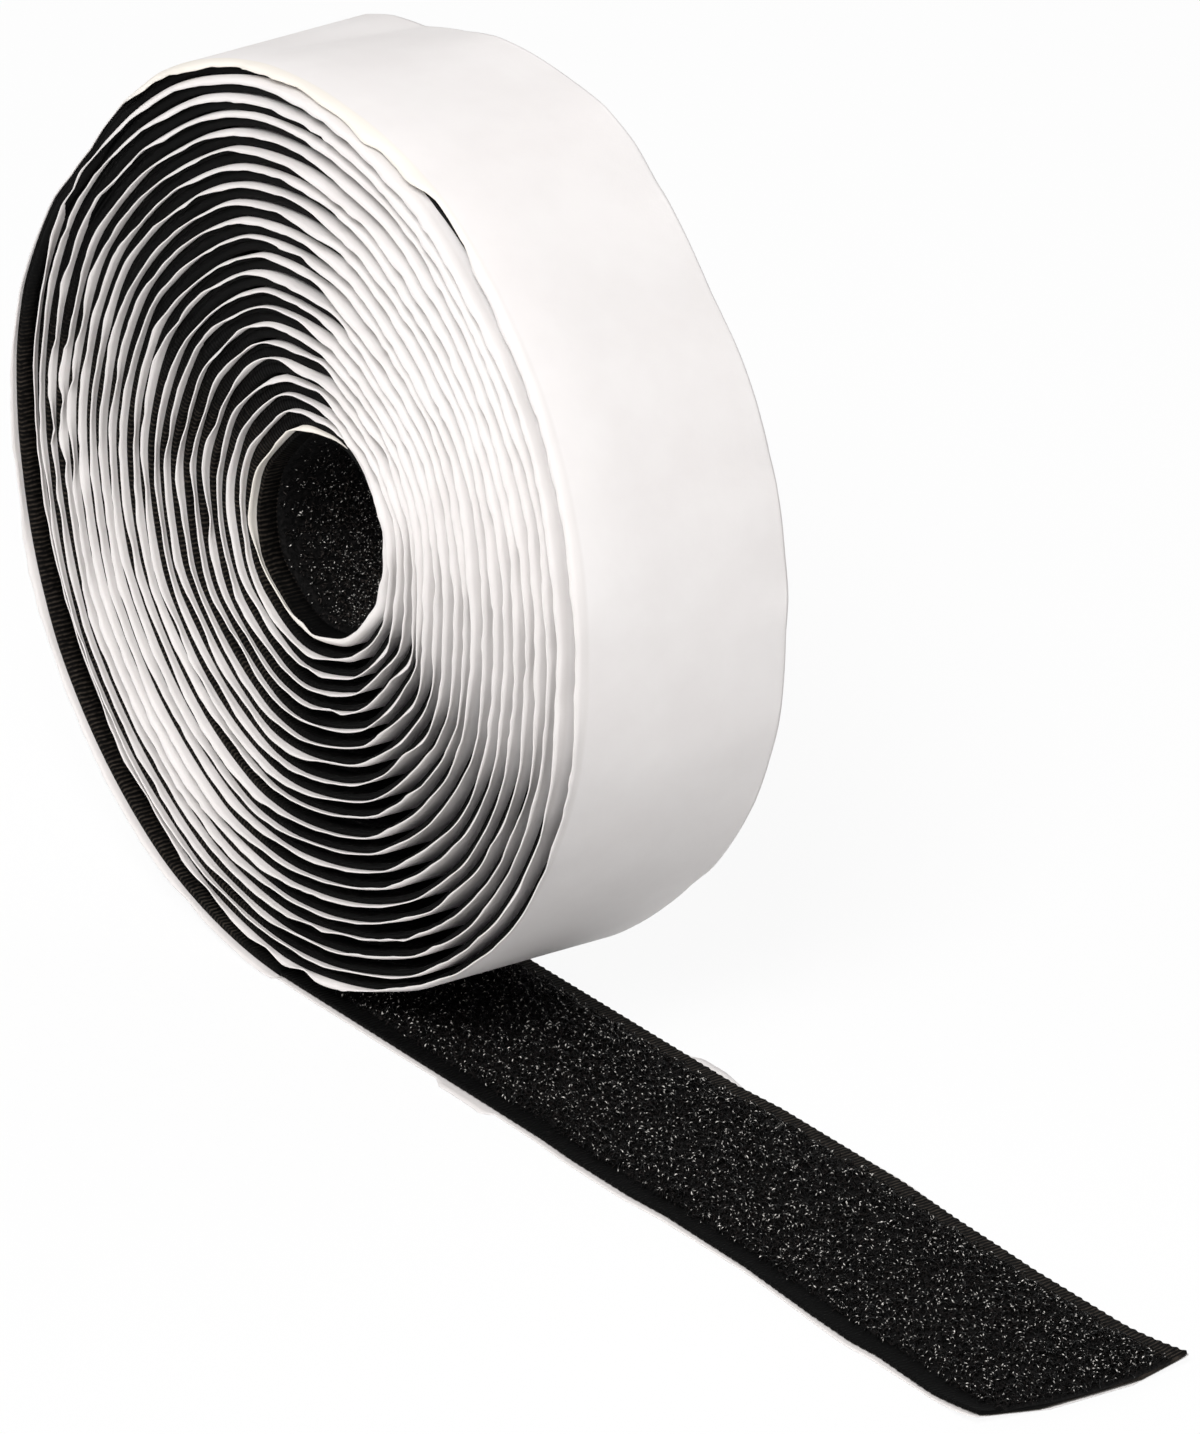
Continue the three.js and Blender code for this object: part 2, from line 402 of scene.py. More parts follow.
FIRST_TURN_END = [0.50, 0.55]
LAST_TURN_START = [TURNS - 1.06, TURNS - 0.99]
INNER_END = [TURNS - 0.19, TURNS - 0.08]
CRUSHED_CLOCKS = (74, 82, 96, 104)
CRUSHED_TURNS = (2.9, 3.1, 6.2, 6.6)
TRODDEN_TURNS = (0.92, 0.96, 1.04, 1.08)
CRACKED_TURNS = (0.36, 0.40, 0.62, 0.66)
WIDE_CLOCKS = (165, 190, 262, 290)
WIDE_TURNS = (1.24, 1.28, 1.36, 1.41)
WIDER = 0.35
INNER_NARROWER = 0.95
HALFWAY_TILT = 0.55

LEAN_CREASES = (-0.28, 0.28, 2.5 * mm, 8 * mm)
LEAN_CREASES_BY_TURN = ([0, 8, TURNS], [1, 1, 1.7])
FINE_CREASES = (-0.10, 0.10, 1.2 * mm, 3 * mm)
CRUSHED_CREASES = (-0.9, 0.4, 1.2 * mm, 3 * mm)
TRODDEN_CREASES = (-0.9, 0.3, 1.5 * mm, 5 * mm)
LAST_CREASES = (-0.5, 0.5, 2 * mm, 6 * mm)
NEAR_WIDTHS = (0.87, 1.12, 4 * mm, 12 * mm)
NEAR_NICKS = (0.90, 1.09, 0.8 * mm, 2.2 * mm)
NEAR_CRACKS = (-0.22, 0.10, 0.9 * mm, 3.5 * mm)
FAR_TILTS = (-0.4, 0.4, 3 * mm, 9 * mm)
FAR_WIDTHS = (0.7, 1.2, 4 * mm, 12 * mm)


def near_lean(angle, length, seed):
    """How far the near flange leans towards the roll's axis, in radians."""
    turn, clock = turn_and_clock(angle)
    gap = turn - np.interp(clock, [0, 120, 150, 315, 345, 360], [1, 1, 0, 0, 1, 1])
    lean = by_clock(LEAN_INWARDS, clock, LEAN_TURNS, gap)
    first = np.interp(turn, FIRST_TURN_END, [1, 0])
    lean = lean * (1 - first) + first * np.interp(clock, FIRST_CLOCK, FIRST_LEAN)
    lean += creased(length, *LEAN_CREASES, seed) * np.interp(turn, *LEAN_CREASES_BY_TURN)
    lean += creased(length, *FINE_CREASES, seed + 9)
    crushed = window(clock, *CRUSHED_CLOCKS) * window(turn, *CRUSHED_TURNS)
    lean += crushed * creased(length, *CRUSHED_CREASES, seed + 7)
    trodden = window(turn, *TRODDEN_TURNS)
    lean += trodden * creased(length, *TRODDEN_CREASES, seed + 6)
    last = np.interp(turn, LAST_TURN_START, [0, 1])
    bent = np.interp(clock, LAST_CLOCK, LAST_LEAN) + creased(length, *LAST_CREASES, seed + 8)
    return lean * (1 - last) + last * bent


def flange(edge, width, tilt, side):
    """Places across and depths of the two outer columns of a flange that tilts away from the tape's edge."""
    half = width / 2
    near_tilt = HALFWAY_TILT * tilt
    mid_across = edge + side * half * np.cos(near_tilt)
    mid_depth = -half * np.sin(near_tilt)
    out_across = mid_across + side * half * np.cos(tilt)
    out_depth = mid_depth - half * np.sin(tilt)
    return (mid_across, mid_depth), (out_across, out_depth)


STEADY_COLUMNS = np.array([-1.0, -0.4, 0.4, 1.0]) * tape_half
FLAT_COLUMNS = np.array([
    -tape_half - NEAR_FLANGE, -tape_half - NEAR_FLANGE / 2, *STEADY_COLUMNS,
    tape_half + FAR_FLANGE / 2, tape_half + FAR_FLANGE,
])


def liner_columns(along, near_width, near_tilt, far_width, far_tilt):
    """Places across and depths of the liner's eight columns. The four over the tape lie steady."""
    mid_near, out_near = flange(-tape_half, near_width, near_tilt, -1)
    mid_far, out_far = flange(tape_half, far_width, far_tilt, 1)
    steady = [(np.full_like(along, a), np.zeros_like(along)) for a in STEADY_COLUMNS]
    columns = [out_near, mid_near, *steady, mid_far, out_far]
    return [(a, depth + LINER_THICKNESS / 2) for a, depth in columns]


def liner_points(angle, length, seed):
    """The wound liner's centre face, as rows by columns."""
    turn, clock = turn_and_clock(angle)
    near_tilt = -near_lean(angle, length, seed)
    near_width = NEAR_FLANGE * creased(length, *NEAR_WIDTHS, seed + 1)
    near_width *= creased(length, *NEAR_NICKS, seed + 5)
    near_width *= 1 + WIDER * window(clock, *WIDE_CLOCKS) * (turn < TURNS - 1.1)
    near_width *= np.where(turn < 1, np.interp(clock, FIRST_WIDTH_CLOCK, FIRST_WIDTH), 1)
    near_width *= 1 + WIDER * window(turn, *WIDE_TURNS)
    cracked = window(turn, *CRACKED_TURNS)
    near_width *= 1 + cracked * creased(length, *NEAR_CRACKS, seed + 4)
    near_width *= 1 - INNER_NARROWER * np.interp(turn, INNER_END, [0, 1])
    far_tilt = creased(length, *FAR_TILTS, seed + 2)
    far_width = FAR_FLANGE * creased(length, *FAR_WIDTHS, seed + 3)
    columns = liner_columns(angle, near_width, near_tilt, far_width, far_tilt)
    return np.stack([on_spiral(angle, a, depth) for a, depth in columns], axis=1)


# %% Wind the liner
LINER_STEP = 0.8 * mm
angles = even_angles(LINER_STEP)
lengths = turned_length(angles)
wound_liner = lay_strip(
    "wound_liner_paper", liner_points(angles, lengths, 11), lengths, FLAT_COLUMNS, LINER_THICKNESS
)

# %% [markdown]
# The tail lies on the floor, but it isn't a ruled strip either. Its last third spreads a little where the
# fabric was stretched, its cut is a shallow bow, and the two corners of the cut lift off the floor.

# %% Lay the liner's tail
CUT_BOW = 1.2 * mm
CUT_SKEW = 1.3 * mm
BOW_LENGTH = 30 * mm
CORNER_LIFT = 0.9 * mm
CORNER_LENGTH = 11 * mm
NEAR_PLACES = np.array([48, 54, 64, 70, 84, 96, 103, 107, 113, 117, 124]) * mm
NEAR_SPREAD = np.array([0, 0.3, 0.3, -0.15, 0, 0.85, 1.15, 0.8, 1.1, 1.35, 1.05]) * mm
FAR_PLACES = np.array([50, 57, 78, 88, 95, 101, 116, 124]) * mm
FAR_SPREAD = np.array([0, 0.6, 0.65, 0, -0.25, -0.55, -0.6, -0.1]) * mm
NEAR_PEEK_WIDTH = 1.2 * mm
NEAR_PEEK = (30 * mm, 32 * mm, 39.5 * mm, 40.5 * mm)
FAR_PEEK_WIDTH = 1.0 * mm
FAR_PEEK = (40 * mm, 42 * mm, 46 * mm, 51 * mm)
TAIL_NEAR_TILTS = (0.0, 0.25, 5 * mm, 14 * mm)
TAIL_NEAR_WIDTHS = (0.25, 0.7, 5 * mm, 12 * mm)
TAIL_FAR_WIDTHS = (0.5, 1.3, 6 * mm, 14 * mm)
TAIL_FAR_TILTS = (0.0, 0.3, 5 * mm, 14 * mm)


def on_floor(x, across, height):
    """Points of the tail at those places along and across it, at that height over the floor."""
    share = across / tape_half
    near = np.interp(x, NEAR_PLACES, NEAR_SPREAD)
    far = np.interp(x, FAR_PLACES, FAR_SPREAD)
    spread = np.where(share < 0, near, far) * share
    end = np.clip((x - (tail_end_x - BOW_LENGTH)) / BOW_LENGTH, 0, 1)
    bow = end * (CUT_BOW * (1 - share ** 2) + CUT_SKEW * (1 + share) / 2)
    corner = np.clip((x - (tail_end_x - CORNER_LENGTH)) / CORNER_LENGTH, 0, 1)
    lift = CORNER_LIFT * corner ** 2 * np.abs(share) ** 3
    return np.stack([x + bow, across + spread, height + lift], axis=-1)


def tail_liner_points(x):
    """The liner under the tail, which shows past the tape in two short stretches."""
    near_tilt = creased(x, *TAIL_NEAR_TILTS, 21)
    near_width = NEAR_FLANGE * creased(x, *TAIL_NEAR_WIDTHS, 22)
    near_width += NEAR_PEEK_WIDTH * window(x, *NEAR_PEEK)
    far_width = FAR_FLANGE * creased(x, *TAIL_FAR_WIDTHS, 23)
    far_width += FAR_PEEK_WIDTH * window(x, *FAR_PEEK)
    far_tilt = creased(x, *TAIL_FAR_TILTS, 24)
    columns = liner_columns(x, near_width, -near_tilt, far_width, -far_tilt)
    return np.stack([on_floor(x, a, height) for a, height in columns], axis=1)


tail_x = np.linspace(0.0, tail_end_x, 200)
tail_liner = lay_strip("tail_liner_paper", tail_liner_points(tail_x), -tail_x, FLAT_COLUMNS, LINER_THICKNESS)

# %% [markdown]
# ## The woven ground
#
# The fabric is a thin slab with rounded, slightly scalloped edges. It is laid as a grid through its middle
# and thickened both ways. The weave itself is far finer than a millimetre, so it goes into the material,
# drawn on the UV map so that its ribs run across the tape everywhere.

# %% Wind the ground
GROUND_COLUMNS = np.array([-1.0, -0.985, -0.92, -0.5, 0.5, 0.92, 0.985, 1.0]) * tape_half
ground_middle = (adhesive_low[2] + ground_top) / 2
ground_thickness = ground_top - adhesive_low[2]
GROUND_STEP = 1.25 * mm
angles = even_angles(GROUND_STEP)
ground_depths = [ground_middle] * len(GROUND_COLUMNS)
wound_ground = wind("wound_woven_tape", angles, GROUND_COLUMNS, ground_depths, ground_thickness)

# %% Lay the ground's tail
SCALLOP_STEP = 1.2 * mm
NEAR_SCALLOP = 0.04 * mm
FAR_SCALLOP = 0.10 * mm
SPLIT_X = 82.7 * mm


def tail_points(x, columns, height):
    """A layer of the tail with its scalloped edges and lifted corners. Height may follow the column."""
    rows = []
    heights = np.broadcast_to(height, columns.shape)
    for a, z in zip(columns, heights):
        depth = NEAR_SCALLOP if a < 0 else FAR_SCALLOP
        bump = depth * np.sin(x / SCALLOP_STEP * tau) * (abs(a) / tape_half) ** 30
        rows.append(on_floor(x, a + math.copysign(1, a) * bump, z))
    return np.stack(rows, axis=1)


def lay_tail(name, x, columns, height, thickness, shrink=1.0):
    """A layer of the tail, whose columns may be drawn in a little."""
    return lay_strip(name, tail_points(x, shrink * columns, height), -x, columns, thickness)


near_x = np.linspace(0.0, SPLIT_X, 260)
far_x = np.linspace(SPLIT_X, tail_end_x, 240)
ground_centre = (ground_bottom + ground_top) / 2
tail_thickness = ground_top - ground_bottom
near_ground = lay_tail("tail_woven_tape", near_x, GROUND_COLUMNS, ground_centre, tail_thickness)
end_ground = lay_tail("end_woven_tape", far_x, GROUND_COLUMNS, ground_centre, tail_thickness)

# %% Lay the adhesive under the tail
adhesive_thickness = adhesive_high[2] - adhesive_low[2]
adhesive_centre = (adhesive_high[2] + adhesive_low[2]) / 2
FILM_SHRINK = 0.99
near_adhesive = lay_tail(
    "tail_adhesive_film", near_x, GROUND_COLUMNS, adhesive_centre, adhesive_thickness, FILM_SHRINK
)
end_adhesive = lay_tail(
    "end_adhesive_film", far_x, GROUND_COLUMNS, adhesive_centre, adhesive_thickness, FILM_SHRINK
)

# %% [markdown]
# ## The pile's bed
#
# Between the selvages the fabric is hidden by loops. Most of them lie in shadow, so a low dark bed with a
# rough face stands for the bottom of the pile, and only the loops that can be seen are made one by one.

# %% Wind and lay the bed
BED_COLUMNS = np.array([-1.0, -0.94, -0.86, -0.5, 0.0, 0.5, 0.86, 0.94, 1.0]) * pile_half
BED_SHARE = 0.6
BED_SLOPE = 1.6 * mm
bed_height = (pile_top - ground_top) * BED_SHARE


def bed_top(across):
    """Height of the bed over the fabric: it slopes down to nothing at the selvages."""
    share = np.clip((pile_half - np.abs(across)) / BED_SLOPE, 0, 1)
    return bed_height * share * (2 - share)


def bed_middle(across):
    """Height of the middle of the bed over the liner's outer face."""
    return ground_top + bed_top(across) - bed_height / 2


BED_STEP = 1.6 * mm
angles = even_angles(BED_STEP)
wound_bed = wind("wound_pile_bed", angles, BED_COLUMNS, bed_middle(BED_COLUMNS), bed_height)

# %% [markdown]
# Over the top of the roll the selvage curls up and shuts the gap to the next turn, so nothing white shows in
# it. One thin strip of the same weave, bent like an L, stands for the curl: it goes from the tape's edge down
# to the next turn and back to the pile. Elsewhere it lies flat on the selvage.

# %% Shut the gaps
CURL = [(-1.0, 0.0), (-0.998, 0.5), (-0.99, 1.0), (-0.83, 1.0)]
CURL_THICKNESS = 0.08 * mm
CURL_CLEARANCE = 0.12 * mm
CURL_CLOCKS = (95, 125, 205, 240)
curl_room = PITCH - ground_top - CURL_CLEARANCE
curl_columns = np.array([share for share, _ in CURL]) * tape_half


def curl_depths(angle):
    """Depths of the curl's columns, in the order of its table."""
    turn, clock = turn_and_clock(angle)
    height = CURL_THICKNESS + (curl_room - CURL_THICKNESS) * window(clock, *CURL_CLOCKS)
    height *= angle < (TURNS - 1) * tau
    return [ground_top + part * height for _, part in CURL]


wound_curl = wind("wound_selvage_curl", angles, curl_columns, curl_depths(angles), CURL_THICKNESS)

# %% Lay the bed in the tail
near_bed_x = np.linspace(0.0, SPLIT_X, 90)
far_bed_x = np.linspace(SPLIT_X, tail_end_x, 80)
near_bed = lay_tail("tail_pile_bed", near_bed_x, BED_COLUMNS, bed_middle(BED_COLUMNS), bed_height)
end_bed = lay_tail("end_pile_bed", far_bed_x, BED_COLUMNS, bed_middle(BED_COLUMNS), bed_height)

# %% [markdown]
# ## The loops
#
# A loop is a nylon filament bent over and curled back. One is a triangle spun round an axis, with a small
# drift so that its two feet stand apart. Eight of them, each of another size and arc, are enough for the
# eye. They are doubled to some thousands, and then each copy is turned, tilted and set down at its own
# place. A copy has a few dozen faces, so the whole pile stays light.
# The pile needs two sorts. Most loops are dull and fill the ground with black. The others are glossy, and in
# the tail they stand higher. A glossy filament flashes over a very short piece of its bend, so most of these
# loops carry an attribute that is bright on one of their rings and zero elsewhere, and there their colour is
# painted pale: a painted highlight.

# %% Make eight loops
FILAMENT_RADIUS = 0.055 * mm
LOOP_STEPS = 7
LOOP_KINDS = 8
FILAMENT_SIDES = 3
LOOP_POINTS = FILAMENT_SIDES * (LOOP_STEPS + 1)
LOOP_ARC = (180, 280)
LOOP_DRIFT = (0.01, 0.05)


def make_loops(name, doublings, radii, seed):
    """A mesh of eight loops that stand on their feet at the origin, doubled that many times."""
    own = np.random.default_rng(seed)
    bm = bmesh.new()
    for _ in range(LOOP_KINDS):
        radius = own.uniform(*radii) * mm
        arc = math.radians(own.uniform(*LOOP_ARC))
        feet = radius * math.sin((arc - math.pi) / 2)
        ring = bmesh.ops.create_circle(
            bm, cap_ends=True, segments=FILAMENT_SIDES, radius=FILAMENT_RADIUS
        )["verts"]
        bmesh.ops.rotate(bm, verts=ring, matrix=Matrix.Rotation(math.radians(90), 3, "X"))
        bmesh.ops.translate(bm, verts=ring, vec=(radius, 0, 0))
        bmesh.ops.rotate(bm, verts=ring, matrix=Matrix.Rotation((math.pi - arc) / 2, 3, "Z"))
        bmesh.ops.translate(bm, verts=ring, vec=(0, feet, 0))
        section = ring[0].link_faces[0]
        bmesh.ops.spin(
            bm, geom=[section, *section.edges, *ring], cent=(0, feet, 0), axis=(0, 0, 1),
            dvec=(0, 0, own.uniform(*LOOP_DRIFT) * mm), angle=arc, steps=LOOP_STEPS,
            use_merge=False, use_duplicate=False,
        )
    bmesh.ops.recalc_face_normals(bm, faces=bm.faces)
    for face in bm.faces:
        face.smooth = True
    for _ in range(doublings):
        bmesh.ops.duplicate(bm, geom=bm.verts[:] + bm.edges[:] + bm.faces[:])
    mesh = bpy.data.meshes.new(name)
    bm.to_mesh(mesh)
    bm.free()
    return mesh


def add_glints(mesh, count, share, own):
    """Marks one short stretch on that share of the loops, each with its own strength, as a painted highlight.
    """
    strength = own.uniform(0.5, 1.0, count) * (own.uniform(0, 1, count) < share)
    painted_glint = np.zeros((count, LOOP_STEPS + 1))
    painted_glint[np.arange(count), own.integers(3, LOOP_STEPS, count)] = strength
    attribute = mesh.attributes.new("painted_glint", "FLOAT", "POINT")
    attribute.data.foreach_set("value", np.repeat(painted_glint, FILAMENT_SIDES))


def plant(name, roots, ups, alongs, doublings, radii, lean_spread, seed, glint_share=0.0):
    """Loops at roots, each leaning a little from ups, turned at random about it."""
    own = np.random.default_rng(seed)
    mesh = make_loops(name, doublings, radii, seed + 100)
    count = len(roots)
    heading = own.uniform(0, tau, count)
    lean = own.normal(0, lean_spread, (count, 2))
    size = own.uniform(0.75, 1.25, count)
    side = np.cross(ups, alongs)
    up = ups + lean[:, :1] * alongs + lean[:, 1:] * side
    up /= np.linalg.norm(up, axis=1)[:, None]
    first = np.cos(heading)[:, None] * alongs + np.sin(heading)[:, None] * side
    first -= (first * up).sum(1)[:, None] * up
    first /= np.linalg.norm(first, axis=1)[:, None]
    third = np.cross(first, up)
    axes = np.stack([first, up, third], axis=1) * size[:, None, None]
    shape = np.empty(len(mesh.vertices) * 3)
    mesh.vertices.foreach_get("co", shape)
    shape = shape.reshape(count, LOOP_POINTS, 3)
    placed = np.einsum("cpi,cij->cpj", shape, axes) + roots[:, None, :]
    mesh.vertices.foreach_set("co", placed.ravel())
    # Most glossy loops get a painted highlight on one of their rings.
    if glint_share:
        add_glints(mesh, count, glint_share, own)
    mesh.update()
    piece = add_object(name, mesh)
    report(piece)
    return piece


# %% Plant the tail and the bore
FOOT_DEPTH = 0.1 * mm
FRINGE = 0.3 * mm
DULL = (0.24, 0.40)
GLOSSY = (0.32, 0.52)
BORE_GLOSSY = (0.22, 0.36)
DULL_LEAN, BORE_DULL_LEAN, GLOSSY_LEAN = 0.55, 0.5, 0.3
MANY, FEW = 9, 8
TAIL_GLINTS, BORE_GLINTS = 0.85, 1.0
BORE_SPREAD = (TURNS - 1.0, TURNS - 0.70, TURNS - 0.25)
TIP_INSET = 0.2 * mm


def plant_tail(name, start, stop, doublings, radii, lean_spread, seed, glint_share=0.0):
    """Loops between two places along the tail, evenly spread."""
    own = np.random.default_rng(seed + 200)
    count = LOOP_KINDS * 2 ** doublings
    x = own.uniform(start, stop, count)
    y = own.uniform(-pile_half - FRINGE, pile_half + FRINGE, count)
    roots = on_floor(x, y, ground_top + bed_top(y) - FOOT_DEPTH)
    ups = np.tile([0.0, 0.0, 1.0], (count, 1))
    alongs = np.tile([1.0, 0.0, 0.0], (count, 1))
    return plant(name, roots, ups, alongs, doublings, radii, lean_spread, seed, glint_share)


def plant_bore(name, doublings, radii, lean_spread, seed, glint_share=0.0):
    """Loops on the last turn, most of them where the camera looks in."""
    own = np.random.default_rng(seed + 200)
    count = LOOP_KINDS * 2 ** doublings
    angle = own.triangular(*BORE_SPREAD, count) * tau
    y = own.triangular(-pile_half - FRINGE, 0.2 * pile_half, pile_half, count)
    roots = on_spiral(angle, y, ground_top + bed_top(y) - FOOT_DEPTH)
    ups = np.stack([np.sin(angle), np.zeros_like(angle), np.cos(angle)], axis=-1)
    alongs = np.stack([-np.cos(angle), np.zeros_like(angle), np.sin(angle)], axis=-1)
    return plant(name, roots, ups, alongs, doublings, radii, lean_spread, seed, glint_share)


near_loops = [
    plant_tail("tail_loops_1", 0.0, SPLIT_X, MANY, DULL, DULL_LEAN, 41),
    plant_tail("tail_loops_2", 0.0, SPLIT_X, MANY, DULL, DULL_LEAN, 42),
]
near_gloss = plant_tail("tail_glossy_loops", 0.0, SPLIT_X, MANY, GLOSSY, GLOSSY_LEAN, 43, TAIL_GLINTS)
tip_x = tail_end_x - TIP_INSET
end_loops = plant_tail("end_loops", SPLIT_X, tip_x, MANY, DULL, DULL_LEAN, 44)
end_gloss = plant_tail("end_glossy_loops", SPLIT_X, tip_x, FEW, GLOSSY, GLOSSY_LEAN, 45, TAIL_GLINTS)
bore_loops = plant_bore("bore_loops", MANY, DULL, BORE_DULL_LEAN, 46)
bore_gloss = plant_bore("bore_glossy_loops", MANY, BORE_GLOSSY, GLOSSY_LEAN, 47, BORE_GLINTS)

# %% [markdown]
# ## Finishes
#
# Every finish is procedural. The weave with its painted rib highlights, and the paper's edge, rubbed to cream
# in places and duller with painted shade, are drawn on the tape's own map, so they follow it round the roll.
# Blotches and grain come from the object's place and need no map.

# %% Small helpers for finishes
def new_finish(name):
    material = bpy.data.materials.new(name)
    material.use_nodes = True
    shader = material.node_tree.nodes["Principled BSDF"]
    return material, material.node_tree.nodes, material.node_tree.links, shader


def tape_place(nodes, links, scale):
    """The tape's own UV map in metres, times scale."""
    uv = nodes.new("ShaderNodeUVMap")
    uv.uv_map = "tape"
    mapping = nodes.new("ShaderNodeMapping")
    mapping.inputs["Scale"].default_value = scale
    links.new(uv.outputs["UV"], mapping.inputs["Vector"])
    return mapping.outputs["Vector"]


def noise(nodes, links, place, scale, detail=4.0, roughness=0.6):
    texture = nodes.new("ShaderNodeTexNoise")
    texture.inputs["Scale"].default_value = scale
    texture.inputs["Detail"].default_value = detail
    texture.inputs["Roughness"].default_value = roughness
    links.new(place, texture.inputs["Vector"])
    return texture.outputs["Fac"]


def object_place(nodes):
    return nodes.new("ShaderNodeTexCoord").outputs["Object"]


def ramp(nodes, links, value, stops):
    """A colour ramp with (position, colour) stops."""
    node = nodes.new("ShaderNodeValToRGB")
    elements = node.color_ramp.elements
    while len(elements) < len(stops):
        elements.new(0.5)
    for element, (position, colour) in zip(elements, stops):
        element.position = position
        element.color = (*colour, 1.0)
    links.new(value, node.inputs["Fac"])
    return node.outputs["Color"]


def bump(nodes, links, height, distance, strength, normal=None):
    node = nodes.new("ShaderNodeBump")
    node.inputs["Distance"].default_value = distance
    node.inputs["Strength"].default_value = strength
    links.new(height, node.inputs["Height"])
    if normal is not None:
        links.new(normal, node.inputs["Normal"])
    return node.outputs["Normal"]


def share_above(nodes, links, value, limit, softness):
    """Zero under the limit, one past it."""
    node = nodes.new("ShaderNodeMapRange")
    node.inputs["From Min"].default_value = limit
    node.inputs["From Max"].default_value = limit + softness
    links.new(value, node.inputs["Value"])
    return node.outputs["Result"]


def combined(nodes, links, *values, operation="MULTIPLY"):
    """The linked values joined by one operation, a product unless another is named."""
    result = values[0]
    for value in values[1:]:
        node = nodes.new("ShaderNodeMath")
        node.operation = operation
        links.new(result, node.inputs[0])
        links.new(value, node.inputs[1])
        result = node.outputs[0]
    return result


def mixed(nodes, links, share, colour, other):
    """The linked colour, turned by that share into the other one."""
    mix = nodes.new("ShaderNodeMix")
    mix.data_type = "RGBA"
    links.new(share, mix.inputs["Factor"])
    links.new(colour, mix.inputs["A"])
    mix.inputs["B"].default_value = (*other, 1.0)
    return mix.outputs["Result"]


# %% Paper
EDGE_START = tape_half - 0.3 * mm
EDGE_FADE = 0.4 * mm
CREAM_TOP_START, CREAM_TOP_END = 0.125, 0.20
CREAM_BORE_LENGTH = 0.060
# Past the near edge the paper is duller: partly its own greyish tone, partly painted shade.
EDGE_GREY_AND_SHADE = (0.80, 0.765, 0.75)
CREAM = (0.87, 0.82, 0.75)


def with_cream_edge(nodes, links, colour):
    """The near edge is duller, partly the paper's own greyish tone and partly painted shade, and rubbed to
    cream round the top and in the bore.
    """
    split = nodes.new("ShaderNodeSeparateXYZ")
    links.new(tape_place(nodes, links, (1.0, -1.0, 1.0)), split.inputs["Vector"])
    along, towards = split.outputs["X"], split.outputs["Y"]
    past_edge = share_above(nodes, links, towards, EDGE_START, EDGE_FADE)
    top = combined(
        nodes, links, past_edge, share_above(nodes, links, along, CREAM_TOP_START, 0.01),
        share_above(nodes, links, along, CREAM_TOP_END, -0.02),
    )
    in_bore = share_above(nodes, links, along, winding_length - CREAM_BORE_LENGTH, 0.02)
    bore = combined(nodes, links, past_edge, in_bore)
    # Painted shade, mixed with the paper's own greyish tone, on the near flange.
    dull = mixed(nodes, links, past_edge, colour, EDGE_GREY_AND_SHADE)
    return mixed(nodes, links, combined(nodes, links, top, bore, operation="ADD"), dull, CREAM)


def paper():
    material, nodes, links, shader = new_finish("release_paper")
    place = object_place(nodes)
    blotch = noise(nodes, links, place, 90.0, 3.0)
    colour = ramp(nodes, links, blotch, [(0.3, (0.83, 0.795, 0.785)), (0.7, (0.87, 0.84, 0.83))])
    links.new(with_cream_edge(nodes, links, colour), shader.inputs["Base Color"])
    grain = noise(nodes, links, place, 2600.0, 2.0)
    cockle = noise(nodes, links, place, 150.0, 3.0)
    normal = bump(nodes, links, grain, 0.02 * mm, 0.5)
    normal = bump(nodes, links, cockle, 0.15 * mm, 0.4, normal)
    links.new(normal, shader.inputs["Normal"])
    shader.inputs["Roughness"].default_value = 0.55
    shader.inputs["Specular IOR Level"].default_value = 0.35
    return material


# %% Weave
RIB_STEP = 0.55 * mm
WAVE_BAND = 0.314
RIBS_LEFT_OF, RIBS_LEFT_FADE = 0.002, -0.012
RIBS_UNDER, RIBS_UNDER_FADE = 0.072, -0.016


def weave():
    """Black cloth whose paler ribs are partly its own mottling and partly painted highlights: in the tail,
    paler towards its far edge, and at the left of the roll, below its top.
    """
    material, nodes, links, shader = new_finish("black_weave")
    place = tape_place(nodes, links, (1.0, 1.0, 1.0))
    ribs = nodes.new("ShaderNodeTexWave")
    ribs.bands_direction = "X"
    ribs.inputs["Scale"].default_value = WAVE_BAND / RIB_STEP
    ribs.inputs["Distortion"].default_value = 2.2
    ribs.inputs["Detail"].default_value = 1.0
    links.new(place, ribs.inputs["Vector"])
    split = nodes.new("ShaderNodeSeparateXYZ")
    links.new(place, split.inputs["Vector"])
    wound = share_above(nodes, links, split.outputs["X"], 0.0, 1 * mm)
    tail = share_above(nodes, links, split.outputs["X"], 0.0, -1 * mm)
    far = share_above(nodes, links, split.outputs["Y"], -tape_half, 1.5 * tape_half)
    far_side_or_wound = combined(nodes, links, wound, far, operation="MAXIMUM")
    spot = nodes.new("ShaderNodeSeparateXYZ")
    links.new(object_place(nodes), spot.inputs["Vector"])
    # The ribs and their painted highlights are kept to the left of the roll below its top, and to the tail.
    left = share_above(nodes, links, spot.outputs["X"], RIBS_LEFT_OF, RIBS_LEFT_FADE)
    under_top = share_above(nodes, links, spot.outputs["Z"], RIBS_UNDER, RIBS_UNDER_FADE)
    upper_left = combined(nodes, links, left, under_top)
    rib_places = combined(nodes, links, upper_left, tail, operation="MAXIMUM")
    plain_ribs = combined(nodes, links, ribs.outputs["Fac"], rib_places)
    mottle_and_rib_highlights = combined(nodes, links, plain_ribs, noise(nodes, links, place, 1100.0, 3.0), far_side_or_wound)
    # The pale stop is partly the weave's own mottling and partly a painted highlight on the ribs.
    colour = ramp(nodes, links, mottle_and_rib_highlights, [
        (0.10, (0.003, 0.003, 0.003)), (0.30, (0.008, 0.007, 0.006)), (0.55, (0.04, 0.033, 0.027)),
    ])
    links.new(colour, shader.inputs["Base Color"])
    normal = bump(nodes, links, plain_ribs, 0.12 * mm, 0.8)
    links.new(normal, shader.inputs["Normal"])
    shader.inputs["Roughness"].default_value = 0.6
    shader.inputs["Specular IOR Level"].default_value = 0.04
    return material


